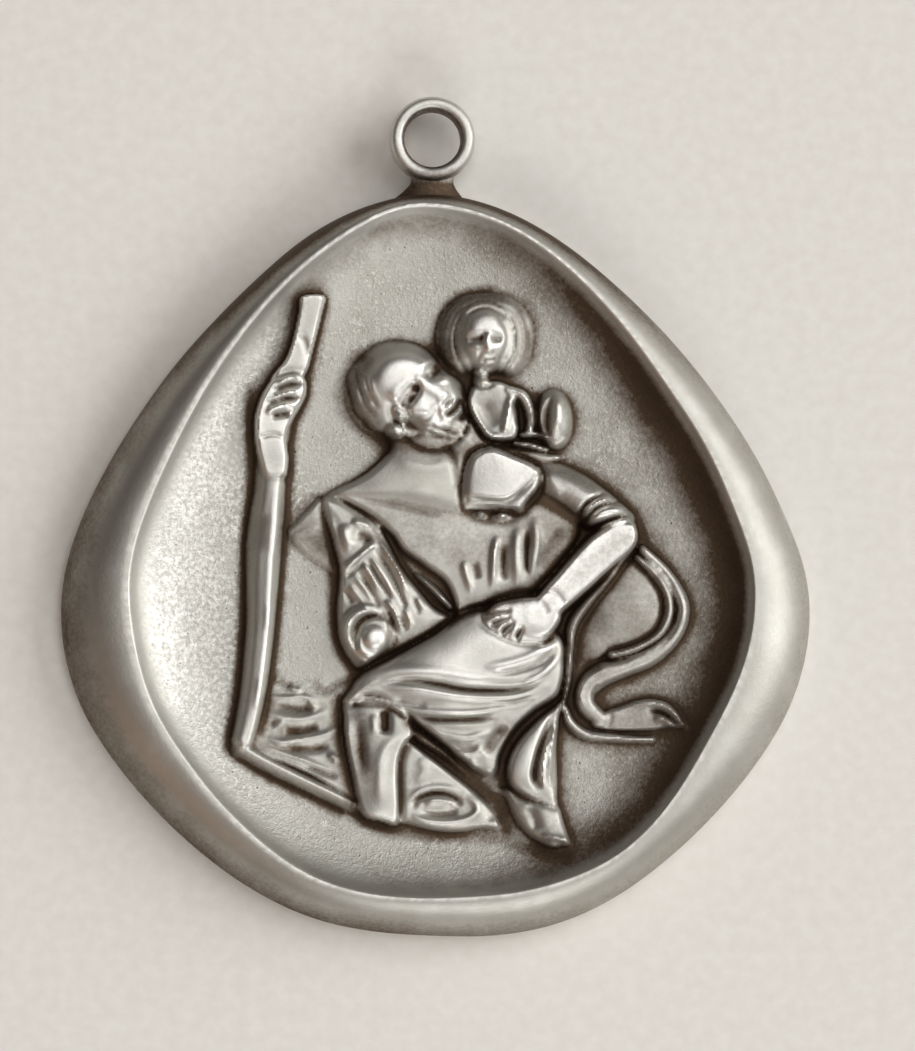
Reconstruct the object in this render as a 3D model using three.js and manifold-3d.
// Religious medal pendant: a rounded kite-shaped silver casting with a raised rim, a dished
// field, a relief of a man with a staff who carries a child through water, and a hanging loop.
// Millimetres, +Z up. The origin is the centre of the flat back, +Y points to the loop.

import * as THREE from 'three';
import { mergeVertices } from 'three/addons/utils/BufferGeometryUtils.js';
import Module from 'manifold-3d';

const wasm = await Module();
wasm.setup();

// Body
const BODY_WIDTH = 28;
const BODY_HEIGHT = 27.8;
const RIM_HEIGHT = 2.6;      // crest of the lip above the back
const FIELD_HEIGHT = 1.25;   // thickness of the metal under the relief
const EDGE_HEIGHT = 0.8;     // where the outer edge is widest
const BACK_ROUNDING = 0.4;   // how far the edge turns in to reach the flat back
const LIP_ROUNDING = 0.14;
const DISH_WIDTH = 2.9;      // from the lip to where the field is flat

// Relief
const RELIEF_HEIGHT = 1.3;   // highest form above the field
const ROOT_DEPTH = 0.35;     // how far each form runs down into the field's metal
const PLATE_ROUNDING = 0.22; // edge of a flat form

// Hanging loop, a ring that lies in the medal's plane, soldered to the top of the edge
const LOOP_OUTER = 3.2;
const LOOP_BORE = 2.1;
const LOOP_DEPTH = 1.3;
const LOOP_HEIGHT = 1.15;    // middle of the ring above the back
const LOOP_OFFSET = -0.18;   // the ring sits a little to the left of the middle
const LOOP_ROUNDING = 0.22;
const NECK_GAP = 0.38;       // between the ring and the edge, filled with solder
const NECK_TOP_WIDTH = 1.5;
const NECK_ROOT_WIDTH = 2.2;
const NECK_DEPTH = 1.0;

// Facets
const BODY_FACETS = 84;
const LOOP_FACETS = 28;
const LIMB_FACETS = 5;
const LIMB_STEP = 1.1;
const DOME_FACETS = 12;

// Outer edge and lip, x and y in hundredths of the half width and the half height
const OUTLINE = [
  [99.3, -3.4], [93.2, 13.2], [86.1, 28.2], [77.6, 41.7], [68.2, 54.3], [57.8, 66],
  [46.1, 77.1], [32.9, 87.6], [17.4, 96], [0, 100], [-17.5, 97], [-33.5, 89], [-46.6, 77.9],
  [-58.1, 66.4], [-68.6, 54.6], [-77.8, 41.9], [-86.3, 28.3], [-93.8, 13.3], [-99.2, -3.4],
  [-99.6, -20.8], [-95, -38], [-85.9, -53], [-74.8, -66.3], [-62.3, -78], [-48.6, -87.8],
  [-33.2, -95.2], [-16.6, -98.8], [0, -99.8], [16.8, -99.8], [33.6, -96.3], [49, -88.8],
  [62.6, -78.5], [74.9, -66.6], [85.8, -53.2], [94.8, -38], [99.6, -20.8],
];
const LIP = [
  [83.6, 0], [77.3, 17.7], [70.4, 32.6], [62.6, 44.6], [54.4, 56.5], [45.6, 67.6], [32, 81],
  [16.5, 91], [0, 95.4], [-12.3, 94.6], [-31, 82.9], [-46, 68.6], [-60.6, 48.6], [-72, 27],
  [-80, 7], [-82.4, -5.5], [-81.8, -15.7], [-80.1, -26], [-76.3, -38.4], [-70, -49.4],
  [-57.1, -66.1], [-39.8, -81.2], [-25.5, -87.7], [-10.2, -90.2], [8, -90], [24.5, -88.2],
  [42.3, -82], [54.2, -73.4], [64, -61.2], [72.2, -47], [78.6, -34.7], [82.9, -22.3],
  [84.3, -11.7],
];

// Height of the rim between the outer edge (0) and the lip (1), as shares of its rise
const RIM_PROFILE = [[0.12, 0.34], [0.32, 0.63], [0.58, 0.85], [0.84, 0.97], [1, 1]];

// Drop of the dish from the lip (0) to the flat field (1), as shares of its depth
const DISH_PROFILE = [[0.1, 0.74], [0.24, 0.5], [0.44, 0.27], [0.7, 0.08], [1, 0]];

// Long forms, each a row of stations: x, y, half width in hundredths of the body's half
// width, and crest in hundredths of the relief's height. A high squareness makes a plank.
const LIMBS = [
  // staff below the hand
  { squareness: 3, stations: [
    [-40.5, 49, 3.2, 60], [-43.4, 38, 3.6, 60], [-43.6, 28, 3.5, 62], [-44.6, 18, 3.7, 62],
    [-45.9, 6, 4, 62], [-46.5, -6, 4.2, 60], [-46.9, -18, 3.9, 60], [-48.2, -32, 3.6, 58],
    [-50.6, -48, 3.4, 54]] },
  // fingers on the staff
  { squareness: 2.2, stations: [[-45, 47, 1.8, 64], [-41, 49.4, 2, 80], [-37.6, 50.6, 1.7, 66]] },
  { squareness: 2.2, stations: [[-46.5, 43.2, 1.8, 64], [-42, 45.5, 2, 82], [-38.2, 46.5, 1.7, 66]] },
  { squareness: 2.2, stations: [[-46.5, 39.6, 1.8, 62], [-42, 41.6, 2, 80], [-38.8, 42.6, 1.7, 64]] },
  // ground ridge and waves
  { squareness: 2.4, stations: [[-53, -50.6, 2, 44], [-44, -54.5, 1.9, 42], [-34, -59.2, 1.7, 40],
    [-24, -63, 1.6, 38]] },
  { squareness: 2.2, stations: [[-45, -33.5, 1.2, 24], [-37, -32.8, 1.3, 34], [-27, -30, 1.3, 30]] },
  { squareness: 2.2, stations: [[-44, -40.5, 1.4, 30], [-36, -41.7, 1.7, 34], [-27, -39.6, 1.5, 34]] },
  { squareness: 2.2, stations: [[-45, -48.3, 1.3, 32], [-37, -47.6, 1.8, 38], [-27, -44, 1.6, 34]] },
  { squareness: 2.2, stations: [[-46, -50.4, 1.1, 34], [-38, -52.2, 1.2, 36], [-27, -57, 1.3, 32]] },
  // shoulders, neck and the cape fold across the chest
  { squareness: 2.2, stations: [[-23, 14.6, 6.4, 48], [-12, 20.6, 8.4, 62], [2, 21.6, 9.4, 68],
    [16, 18, 8.4, 64]] },
  { squareness: 2.4, stations: [[1, 36, 6.4, 70], [3.4, 28, 7, 66]] },
  { squareness: 2.2, stations: [[-24, 18.8, 1.4, 50], [-14, 18.2, 2, 66], [-4, 17.2, 2.8, 76],
    [4, 17.8, 2.4, 72]] },
  // chest folds
  { squareness: 2.2, stations: [[8.2, 0, 1.2, 52], [8.8, -4, 1.4, 64], [9.8, -8, 1.1, 54]] },
  { squareness: 2.2, stations: [[16.8, 6, 1.3, 58], [15.8, 0, 1.7, 70], [15.2, -7, 1.3, 58]] },
  { squareness: 2.2, stations: [[21.6, 10, 1.6, 60], [21.4, 2, 2.2, 74], [22.2, -6, 1.4, 60]] },
  { squareness: 2.2, stations: [[25.6, 12.6, 1.2, 60], [27, 5, 1.8, 72], [25.2, -4, 1.2, 58]] },
  // pleats of the sleeve
  { squareness: 2.2, stations: [[-25.6, -2.6, 1.6, 66], [-21, 1.2, 1.4, 70], [-16.4, 5.6, 1.2, 66]] },
  { squareness: 2.2, stations: [[-20, -0.6, 1.3, 66], [-15, -6.6, 1.5, 74], [-12, -12.4, 1.5, 74],
    [-9.6, -19, 1.5, 68]] },
  { squareness: 2.2, stations: [[-16, 5.4, 1.2, 68], [-12.2, -0.4, 1.5, 80], [-9, -7.4, 1.5, 78],
    [-6.6, -14.6, 1.3, 66]] },
  { squareness: 2.2, stations: [[-24.4, -5, 1.2, 62], [-20.2, -9.2, 1.2, 66], [-17.8, -12.6, 1.1, 62]] },
  { squareness: 2.2, stations: [[-6, -2, 1, 62], [-2, -7.6, 1.1, 64], [3, -12.6, 1.1, 58]] },
  // rim of the knotted bundle at the sleeve's end
  { squareness: 2.2, stations: [[-15.6, -14.6, 1.4, 70], [-20.6, -14.8, 1.7, 82], [-23.8, -19, 1.9, 84],
    [-22.4, -24.6, 1.4, 70]] },
  // hair at the back of the man's head, and his beard
  { squareness: 2.4, stations: [[-21.5, 51, 3.2, 66], [-20.8, 44.5, 3.6, 72], [-15, 39.6, 3.6, 74],
    [-8.4, 36.6, 3, 70]] },
  { squareness: 2.4, stations: [[-3.4, 37.2, 3.4, 84], [3, 35.6, 4.2, 92], [7.4, 38.6, 3, 84]] },
  // nose of the man
  { squareness: 2.2, stations: [[-5.6, 48, 1.2, 92], [-1.8, 45, 1.4, 99], [0.4, 43.2, 1.8, 98]] },
  // child's neck, body, arms
  { squareness: 2.4, stations: [[13.6, 53, 3, 52], [14.4, 47, 3.4, 56]] },
  { squareness: 2.6, stations: [[15.4, 45.4, 6.4, 60], [15.4, 39, 5.8, 64], [16, 33.6, 5, 60]] },
  { squareness: 2.4, stations: [[10, 44.6, 2.2, 62], [9.6, 39.6, 2, 64], [12.6, 35.4, 2, 62]] },
  { squareness: 2.4, stations: [[21.6, 44.4, 2.4, 64], [24, 39.4, 1.8, 70], [24.4, 35, 1.6, 66],
    [27.4, 33.8, 1.4, 62]] },
  // nose of the child
  { squareness: 2.2, stations: [[12.3, 61.8, 0.9, 88], [12.5, 58.6, 1.2, 92]] },
  // upper arm, rolled sleeve, forearm
  { squareness: 2.6, stations: [[20, 24, 5.2, 62], [29, 21.8, 6, 78], [38, 17.4, 6.4, 86],
    [45.6, 12.4, 6, 90]] },
  { squareness: 2.2, stations: [[38.2, 11, 1.5, 84], [41, 15.4, 1.7, 100], [46.6, 18.6, 1.5, 86]] },
  { squareness: 2.2, stations: [[39.8, 8.4, 1.5, 84], [44, 12.8, 1.8, 102], [50.4, 14.8, 1.5, 86]] },
  { squareness: 3, stations: [[48, 8, 5.8, 92], [42.4, 1.4, 6.2, 94], [35.8, -6, 5.4, 94],
    [29.4, -12.6, 4.4, 92]] },
  // hand on the thigh
  { squareness: 2.4, stations: [[27.8, -13.4, 4, 94], [22, -15, 4, 98]] },
  { squareness: 2.2, stations: [[21, -12.6, 1.2, 96], [17, -13.6, 1.2, 98], [13.8, -15.8, 1.1, 92]] },
  { squareness: 2.2, stations: [[20.6, -15, 1.2, 96], [17.2, -16.2, 1.2, 97], [14.6, -18, 1.1, 90]] },
  { squareness: 2.2, stations: [[21.6, -17, 1.2, 95], [18.8, -18.4, 1.2, 95], [17, -19.8, 1.1, 88]] },
  // thigh and the folds of the lap
  { squareness: 2.5, stations: [[-17, -35, 6.6, 62], [-6, -31, 8, 78], [6, -26.6, 9, 86],
    [18, -24.6, 8, 88], [27, -24, 6.4, 84]] },
  { squareness: 2.3, stations: [[-16, -37.4, 2.8, 64], [-5, -38, 3.6, 78], [7, -38.4, 3.6, 80],
    [20, -36.8, 3.2, 76], [29, -32.4, 2.4, 72]] },
  { squareness: 2.2, stations: [[-4, -43.8, 1.8, 62], [5, -45.4, 2, 70], [14, -44.2, 1.8, 66],
    [22, -41, 1.6, 66]] },
  { squareness: 2.2, stations: [[4, -50, 1.6, 58], [9.6, -48, 1.8, 66], [14.4, -49.4, 1.6, 56]] },
  // skirt over the right leg
  { squareness: 2.5, stations: [[30.6, -40, 2.6, 66], [25.2, -45.4, 4.6, 78], [22, -52, 4.6, 80],
    [24.4, -59, 4.4, 74]] },
  { squareness: 2.2, stations: [[31.6, -43, 1.2, 66], [29, -51, 1.4, 72], [29.6, -60, 1.4, 66],
    [32.2, -66, 1.2, 54]] },
  // shins and feet
  { squareness: 2.4, stations: [[-14, -42.6, 5.2, 60], [-14.6, -52, 5.6, 78], [-14.2, -61, 5.4, 80],
    [-13.4, -66.6, 4.4, 72]] },
  { squareness: 2.2, stations: [[-11.4, -69, 1.6, 48], [-4, -71.2, 1.5, 44], [3, -72.4, 1.3, 36]] },
  { squareness: 2.5, stations: [[25, -65, 4.6, 54], [27.6, -69.6, 5, 62], [31, -73.6, 3, 52]] },
  // lip of the hollow in the rock
  { squareness: 2.2, stations: [[-5, -66, 1.4, 56], [-3, -68.2, 1.3, 54], [4, -69, 1.3, 52],
    [10, -67.4, 1.4, 56], [10.6, -64.4, 1.3, 58], [6.4, -61.6, 1.2, 58], [-0.6, -60.8, 1.2, 58]] },
  // blown cloak: outer band, inner band, hanging ribbon
  { squareness: 2.4, stations: [[52, 5, 1.6, 66], [58, -1.4, 1.6, 52], [64, -8, 1.8, 48],
    [66.6, -14, 1.9, 48], [63.8, -20.6, 1.9, 48], [57, -25, 2, 48], [49, -28, 2.6, 52],
    [42.4, -31, 2.8, 56], [39.4, -36, 2.4, 54], [42.6, -40.6, 1.8, 46]] },
  { squareness: 2.4, stations: [[54, -1.6, 1.3, 46], [60, -8, 1.4, 44], [61.8, -14, 1.5, 44],
    [58.6, -19.8, 1.5, 44], [51.4, -23.4, 1.5, 44], [44.4, -26.4, 1.5, 44]] },
  { squareness: 2.4, stations: [[37.6, -12.8, 1.6, 60], [34.8, -20, 1.5, 58], [34.2, -28, 1.3, 54],
    [33.8, -35.4, 1.1, 50]] },
  // trailing ends of the cloak
  { squareness: 2.3, stations: [[43, -42.4, 2.4, 40], [50, -40.4, 3.2, 42], [58, -40, 2.8, 44],
    [63, -43, 1.5, 42]] },
  { squareness: 2.2, stations: [[34, -39.6, 1.2, 42], [37.6, -43.6, 1.2, 36], [46, -46, 1.3, 34],
    [56, -47.4, 1.1, 30]] },
];

// Round forms: x, y, two half widths, turn in degrees and crest, measured as above
const DOMES = [
  [-10.6, 47.4, 17.4, 12.6, -38, 92],   // head of the man
  [6, 40.4, 4.4, 3.4, -60, 90],         // end of his beard
  [12.6, 60.6, 13, 11.6, 0, 70],        // hair of the child
  [12.2, 60.6, 7.4, 9, 0, 84],          // face of the child
  [31.6, 39.4, 5.4, 8.2, 6, 72],        // orb
  [11.2, 12.4, 2.6, 1.6, -6, 74],       // feet of the child
  [17, 11.8, 3, 1.9, 4, 76],
  [-44.6, 37, 3.6, 4.6, 0, 70],         // heel of the hand on the staff
  [-17.6, -20.8, 5.4, 5.4, 0, 82],      // knot of the bundle
  [49.4, 8.2, 5.6, 5, -40, 92],         // elbow
  [50, -14.6, 8.4, 5.2, 25, 34],        // swell of the cloak
  [8, 4, 15, 13, 10, 58],               // chest
];

// Flat forms: crest, and a smooth closed outline of x and y, measured as above
const PLATES = [
  // staff above the hand
  { crest: 58, outline: [[-36.8, 70.6], [-33.8, 71.6], [-31, 70.6], [-32.2, 60], [-35.2, 51],
    [-39, 47], [-43, 49], [-40.6, 54], [-38.8, 60]] },
  // lower sleeve behind the body
  { crest: 16, outline: [[-39.6, 7.6], [-35, 13], [-30, 16.6], [-24, 8], [-25, -3], [-31, -2],
    [-35.6, 2]] },
  // shoulders and chest
  { crest: 46, outline: [[-31, 16.4], [-26, 20.4], [-19, 24.4], [-12, 29], [-2, 32], [12, 31.6],
    [26, 27.6], [35, 21], [38, 11], [34.6, 1], [26, -9], [14, -13], [3, -14], [-7, -8],
    [-14, 2], [-22, 9]] },
  // pleated sleeve
  { crest: 58, outline: [[-30.6, 14.6], [-25, 17.4], [-18, 12.6], [-12, 5], [-6, -4], [3, -12.8],
    [-6, -20.6], [-14, -25.6], [-20, -28.6], [-24.6, -24.6], [-26.6, -18], [-26.4, -8],
    [-27, 2]] },
  // draped knees of the child
  { crest: 72, outline: [[7, 16], [8.4, 24], [10.6, 30], [16, 30.6], [24, 27], [27.6, 23],
    [26, 17.4], [22.6, 13.4], [14, 14.2]] },
  // lap and hanging skirt
  { crest: 54, outline: [[-24.4, -38.6], [-19, -30], [-8, -24.4], [4, -16], [16, -12.4], [28, -15],
    [33, -20], [33.4, -32], [31.6, -44], [31.8, -56], [31, -63.4], [24, -63], [14, -59.4],
    [4, -52.6], [-5, -45.4], [-13, -40.4], [-19, -38.4]] },
  // rock between the feet
  { crest: 42, outline: [[-7.6, -55], [-3, -50], [4, -54], [13, -61.6], [15, -70], [4, -71],
    [-7, -69.4]] },
  // water and ground behind the staff's foot
  { crest: 20, outline: [[-48, -32], [-36, -29.6], [-24, -28.6], [-21, -40], [-22, -62], [-34, -60.4],
    [-50, -52]] },
  // shin in shadow behind the near one
  { crest: 38, outline: [[-24.4, -41], [-17, -39.4], [-10, -44], [-9, -60], [-10, -68], [-20, -67]] },
  // hollow of the cloak
  { crest: 22, outline: [[38, -10], [47, -1], [54, 0.6], [61, -8], [63, -15], [56, -21.6],
    [45, -25.6], [38.6, -31], [35, -31], [34, -22]] },
];

const halfWidth = BODY_WIDTH / 2;
const halfHeight = BODY_HEIGHT / 2;
const unit = halfWidth / 100;
const rootHeight = FIELD_HEIGHT - ROOT_DEPTH;

const place = (x, y) => new THREE.Vector2((x * halfWidth) / 100, (y * halfHeight) / 100);
const crestHeight = (crest) => FIELD_HEIGHT + (crest * RELIEF_HEIGHT) / 100;

// A solid from closed rings of points, all of one length, with a fan over each end.
// The rings turn anticlockwise seen from the end that they run to.
function loft(rings) {
  const size = rings[0].length;
  const points = [...rings.flat(), middle(rings[0]), middle(rings.at(-1))];
  const [first, last] = [points.length - 2, points.length - 1];
  const faces = [];
  for (let i = 0; i < size; i++) {
    const j = (i + 1) % size;
    const top = (rings.length - 1) * size;
    faces.push(first, j, i, last, top + i, top + j);
    for (let r = 0; r < rings.length - 1; r++) {
      const [a, b] = [r * size + i, r * size + j];
      faces.push(a, b, b + size, a, b + size, a + size);
    }
  }
  return solid(points.flatMap((p) => [p.x, p.y, p.z]), faces);
}

function middle(ring) {
  const sum = ring.reduce((total, p) => total.add(p), new THREE.Vector3());
  return sum.divideScalar(ring.length);
}

function solid(positions, faces) {
  return new wasm.Manifold(new wasm.Mesh({
    numProp: 3,
    vertProperties: new Float32Array(positions),
    triVerts: new Uint32Array(faces),
  }));
}

function solidOf(geometry) {
  geometry.deleteAttribute('normal');
  geometry.deleteAttribute('uv');
  const merged = mergeVertices(geometry, 1e-4);
  return solid(merged.attributes.position.array, merged.index.array);
}

// A smooth closed outline cut by rays from the middle, one for each facet of the body
function cutByRays(outline) {
  const corners = outline.map(([x, y]) => new THREE.Vector3(...place(x, y), 0));
  const curve = new THREE.CatmullRomCurve3(corners, true, 'centripetal');
  const samples = curve.getPoints(2000).map((p) => [Math.atan2(p.y, p.x), Math.hypot(p.x, p.y)]);
  samples.sort((a, b) => a[0] - b[0]);
  return Array.from({ length: BODY_FACETS }, (_, i) => {
    const angle = -Math.PI + (2 * Math.PI * (i + 0.5)) / BODY_FACETS;
    const after = samples.findIndex((s) => s[0] >= angle);
    const [a1, r1] = samples[after - 1];
    const [a2, r2] = samples[after];
    const radius = r1 + ((r2 - r1) * (angle - a1)) / (a2 - a1);
    return new THREE.Vector2(radius * Math.cos(angle), radius * Math.sin(angle));
  });
}

const atHeight = (ring, z) => ring.map((p) => new THREE.Vector3(p.x, p.y, z));
const movedIn = (ring, d) => ring.map((p) => p.clone().setLength(p.length() - d));

function makeBody() {
  const edge = cutByRays(OUTLINE);
  const lip = cutByRays(LIP);
  const between = (t) => edge.map((p, i) => p.clone().lerp(lip[i], t));
  const dishEdge = RIM_HEIGHT - LIP_ROUNDING;
  return loft([
    atHeight(movedIn(edge, BACK_ROUNDING), 0),
    atHeight(movedIn(edge, BACK_ROUNDING * 0.3), EDGE_HEIGHT * 0.3),
    atHeight(edge, EDGE_HEIGHT),
    ...RIM_PROFILE.map(([t, rise]) =>
      atHeight(between(t), EDGE_HEIGHT + (RIM_HEIGHT - EDGE_HEIGHT) * rise)),
    atHeight(movedIn(lip, LIP_ROUNDING), dishEdge),
    ...DISH_PROFILE.map(([t, drop]) => atHeight(
      movedIn(lip, LIP_ROUNDING + (DISH_WIDTH - LIP_ROUNDING) * t),
      FIELD_HEIGHT + (dishEdge - FIELD_HEIGHT) * drop)),
  ]);
}

// Stations of a limb along a smooth curve, with a rounded end beyond the first and the last
function walk(stations) {
  const centres = stations.map(([x, y]) => new THREE.Vector3(...place(x, y), 0));
  const sizes = stations.map(([, , half, crest], i) => new THREE.Vector3(half * unit, crest, i));
  const path = new THREE.CatmullRomCurve3(centres, false, 'centripetal');
  const size = new THREE.CatmullRomCurve3(sizes, false, 'centripetal');
  const steps = Math.max(stations.length, Math.round(path.getLength() / LIMB_STEP));
  const rows = Array.from({ length: steps + 1 }, (_, i) => {
    const t = i / steps;
    const [half, crest] = size.getPoint(t).toArray();
    return { at: path.getPoint(t), along: path.getTangent(t), half, crest };
  });
  return [...roundEnd(rows[0], -1).reverse(), ...rows, ...roundEnd(rows.at(-1), 1)];
}

function roundEnd(row, side) {
  return [40, 75].map((degrees) => {
    const a = THREE.MathUtils.degToRad(degrees);
    const at = row.at.clone().addScaledVector(row.along, side * row.half * Math.sin(a));
    return { ...row, at, half: row.half * Math.cos(a), crest: row.crest * Math.cos(a * 0.6) };
  });
}

// A long form with a humped section that stands on its root
function limb({ stations, squareness }) {
  return loft(walk(stations).map(({ at, along, half, crest }) => {
    const rise = crestHeight(crest) - rootHeight;
    return Array.from({ length: LIMB_FACETS + 1 }, (_, i) => {
      const a = (Math.PI * i) / LIMB_FACETS;
      const across = half * Math.sign(Math.cos(a)) * Math.abs(Math.cos(a)) ** (2 / squareness);
      const up = rise * Math.abs(Math.sin(a)) ** (2 / squareness);
      return new THREE.Vector3(
        at.x - along.y * across, at.y + along.x * across, rootHeight + up);
    });
  }));
}

function dome([x, y, halfX, halfY, turn, crest]) {
  const centre = place(x, y);
  const rise = crestHeight(crest) - rootHeight;
  return loft([0, 30, 52, 72, 86].map((degrees) => {
    const level = THREE.MathUtils.degToRad(degrees);
    return Array.from({ length: DOME_FACETS }, (_, i) => {
      const a = (2 * Math.PI * i) / DOME_FACETS;
      const out = new THREE.Vector2(halfX * Math.cos(a), halfY * Math.sin(a))
        .multiplyScalar(unit * Math.cos(level))
        .rotateAround(new THREE.Vector2(), THREE.MathUtils.degToRad(turn))
        .add(centre);
      return new THREE.Vector3(out.x, out.y, rootHeight + rise * Math.sin(level));
    });
  }));
}

function plate({ outline, crest }) {
  const corners = outline.map(([x, y]) => new THREE.Vector3(...place(x, y), 0));
  const curve = new THREE.CatmullRomCurve3(corners, true, 'centripetal');
  const shape = new THREE.Shape(curve.getPoints(outline.length * 2).slice(0, -1));
  const rise = crestHeight(crest) - rootHeight;
  const rounding = Math.min(PLATE_ROUNDING, rise / 3);
  const geometry = new THREE.ExtrudeGeometry(shape, {
    depth: rise - 2 * rounding,
    bevelThickness: rounding,
    bevelSize: rounding,
    bevelOffset: -rounding,
    bevelSegments: 1,
  });
  geometry.translate(0, 0, rootHeight + rounding);
  return solidOf(geometry);
}

// Section of the ring, turned about the bore's axis
function makeLoop() {
  const [inner, outer, half] = [LOOP_BORE / 2, LOOP_OUTER / 2, LOOP_DEPTH / 2];
  const r = LOOP_ROUNDING;
  const section = [
    [inner, r - half], [inner + r, -half], [outer - r, -half], [outer, r - half],
    [outer, half - r], [outer - r * 0.35, half - r * 0.35], [outer - r, half],
    [inner + r, half], [inner + r * 0.35, half - r * 0.35], [inner, half - r], [inner, r - half],
  ].map(([x, y]) => new THREE.Vector2(x, y));
  const geometry = new THREE.LatheGeometry(section, LOOP_FACETS);
  geometry.rotateX(Math.PI / 2);
  geometry.translate(LOOP_OFFSET, loopCentre, LOOP_HEIGHT);
  return solidOf(geometry);
}

const loopCentre = halfHeight + NECK_GAP + LOOP_OUTER / 2;

// Solder between the edge and the ring. It starts inside the rim and ends inside the ring's wall.
function makeNeck() {
  const wall = (LOOP_OUTER - LOOP_BORE) / 2;
  const top = loopCentre - LOOP_OUTER / 2 + wall * 0.4;
  const bottom = halfHeight - wall;
  const waist = halfHeight + NECK_GAP * 0.4;
  return loft([[bottom, NECK_ROOT_WIDTH], [waist, NECK_TOP_WIDTH * 1.06], [top, NECK_TOP_WIDTH]]
    .map(([y, width]) => Array.from({ length: 12 }, (_, i) => {
      const a = (2 * Math.PI * i) / 12;
      return new THREE.Vector3(
        LOOP_OFFSET + (width / 2) * Math.cos(a), y, LOOP_HEIGHT - (NECK_DEPTH / 2) * Math.sin(a));
    })));
}

function makeMedal() {
  const forms = [...PLATES.map(plate), ...DOMES.map(dome), ...LIMBS.map(limb)];
  const metal = wasm.Manifold.union([makeBody(), makeNeck(), makeLoop(), ...forms]);
  const { vertProperties, triVerts } = metal.getMesh();
  const geometry = new THREE.BufferGeometry();
  geometry.setAttribute('position', new THREE.BufferAttribute(vertProperties, 3));
  geometry.setIndex(new THREE.BufferAttribute(triVerts, 1));
  return geometry;
}

const silver = new THREE.MeshStandardMaterial({ color: '#b3aea4', roughness: 0.38, metalness: 1 });

const medal = new THREE.Mesh(makeMedal(), silver);
medal.name = 'medal';

const pendant = new THREE.Group();
pendant.add(medal);

export default pendant;
